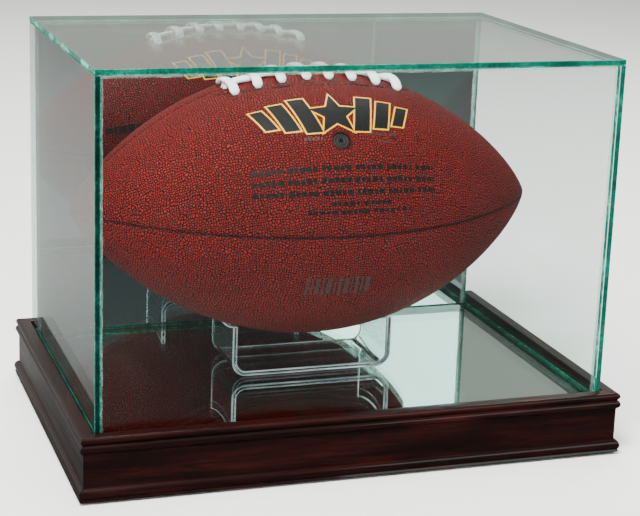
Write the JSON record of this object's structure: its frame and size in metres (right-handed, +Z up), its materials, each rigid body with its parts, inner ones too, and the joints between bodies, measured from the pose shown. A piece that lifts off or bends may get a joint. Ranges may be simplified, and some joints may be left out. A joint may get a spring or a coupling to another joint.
{
  "type": "football display case",
  "caption": "Moulded wood base with a mirror floor, lift-off glass cover with a mirror back, bent acrylic stand and a laced leather football.",
  "frame": {"origin": "middle of the case's footprint, on the surface that it stands on", "axes": "+Z up, +X to the right of a viewer in front, -Y towards that viewer; the mirror back faces -Y"},
  "size_m": [0.3258, 0.2258, 0.236],
  "materials": {
    "cherry_wood": "dark cherry stain, satin lacquer",
    "board": "plain",
    "felt": "felt",
    "mirror": "silvered glass",
    "glass": "clear with green polished edges",
    "silicone": "clear",
    "acrylic": "clear, polished edges",
    "leather": "pebbled",
    "rubber": "matt",
    "lace": "soft white"
  },
  "bodies": {
    "base": {"base_rail_front": "cherry_wood", "base_rail_right": "cherry_wood", "base_rail_back": "cherry_wood", "base_rail_left": "cherry_wood", "base_board": "board", "floor_mirror": "mirror", "corner_block_front_left": "board", "corner_block_front_right": "board", "corner_block_back_right": "board", "corner_block_back_left": "board", "foot_pad_front_left": "felt", "foot_pad_front_right": "felt", "foot_pad_back_right": "felt", "foot_pad_back_left": "felt"},
    "cover": {"glass_top": "glass", "glass_front": "glass", "glass_left": "glass", "glass_right": "glass", "mirror_back": "mirror", "seam_front_left": "silicone", "seam_front_right": "silicone", "seam_back_right": "silicone", "seam_back_left": "silicone", "top_seam_front": "silicone", "top_seam_right": "silicone", "top_seam_back": "silicone", "top_seam_left": "silicone"},
    "stand": {"acrylic_stand": "acrylic"},
    "football": {"football_panel_upper_front": "leather", "football_panel_lower_front": "leather", "football_panel_lower_back": "leather", "football_panel_upper_back": "leather", "football_bladder": "rubber", "football_valve": "rubber", "football_lace": "lace"}
  },
  "joints": [
    {"name": "cover_lift", "type": "slide", "parent": "base", "child": "cover", "axis": [0, 0, 1], "range_m": [0, 0.25]},
    {"name": "stand_slide", "type": "slide", "parent": "base", "child": "stand", "axis": [0, 1, 0], "range_m": [-0.02, 0.004]},
    {"name": "ball_turn", "type": "hinge", "parent": "stand", "child": "football", "pos_m": [0, 0.008, 0.1345], "axis": [1, 0, 0], "range_deg": [-140, 140]}
  ]
}
